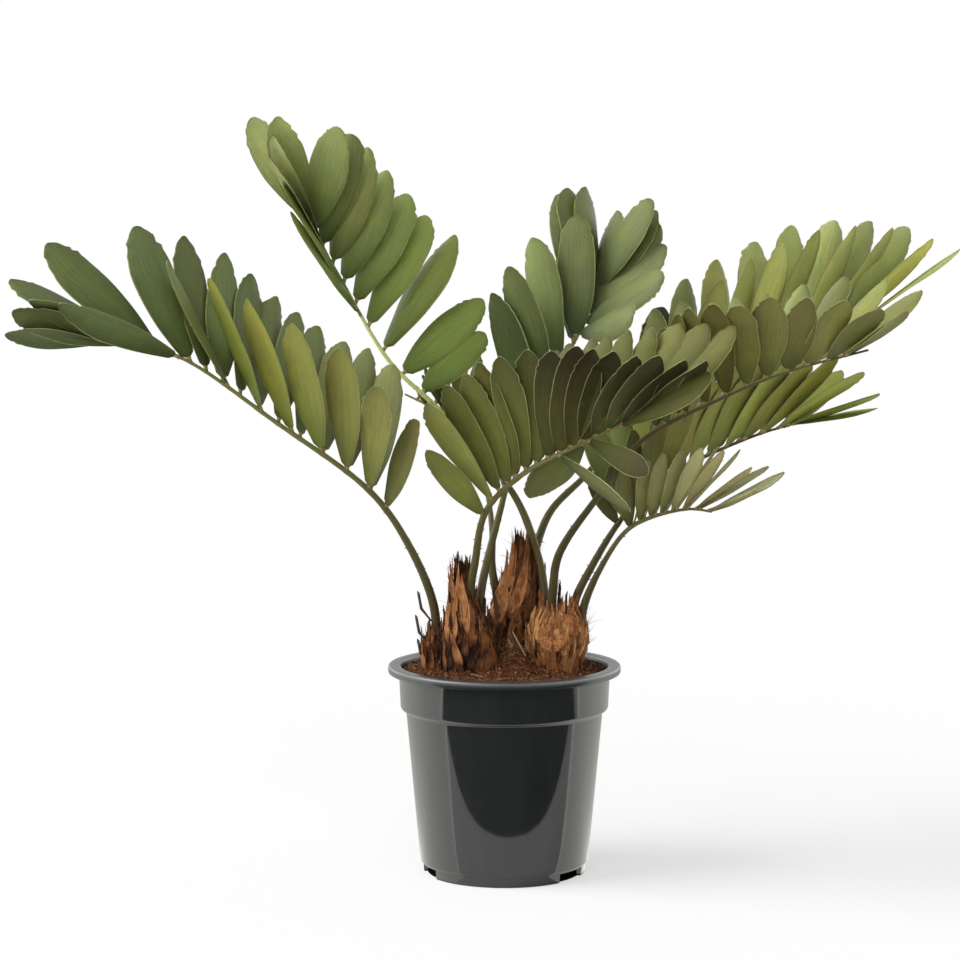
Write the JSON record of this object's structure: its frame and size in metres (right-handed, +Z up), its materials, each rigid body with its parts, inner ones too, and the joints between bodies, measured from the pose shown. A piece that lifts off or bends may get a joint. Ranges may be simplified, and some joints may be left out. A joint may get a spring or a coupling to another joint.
{
  "type": "potted cardboard palm",
  "caption": "Potted cycad with arching pinnate fronds of stiff oval leaflets, rising from woody husked crowns in a stepped round nursery pot.",
  "frame": {"origin": "centre of the pot on the surface that it stands on, below the middle of the foliage", "axes": "+Z up; +X along the longest spread of the fronds; -Y towards the side that the plant is seen from"},
  "size_m": [0.8965, 0.4716, 0.6953],
  "materials": {
    "pot": "smooth dark slate-grey injection-moulded plastic, satin gloss",
    "potting_mix": "coarse red-brown coir and bark crumbs, matt",
    "crown_husk": "dry, fibrous old leaf bases and scales, matt",
    "leaf": "stiff leathery leaflets, olive-green with a grey bloom, pale rims, satin"
  },
  "bodies": {
    "root": {"pot": "pot", "potting_mix": "potting_mix", "crown_left": "crown_husk", "crown_middle": "crown_husk", "crown_right": "crown_husk", "crown_offset": "crown_husk", "frond_left_long": "leaf", "frond_left_high": "leaf", "frond_centre": "leaf", "frond_top": "leaf", "frond_right_back": "leaf", "frond_right_front": "leaf", "frond_right_low": "leaf", "frond_right_small": "leaf", "frond_back": "leaf"}
  },
  "joints": []
}
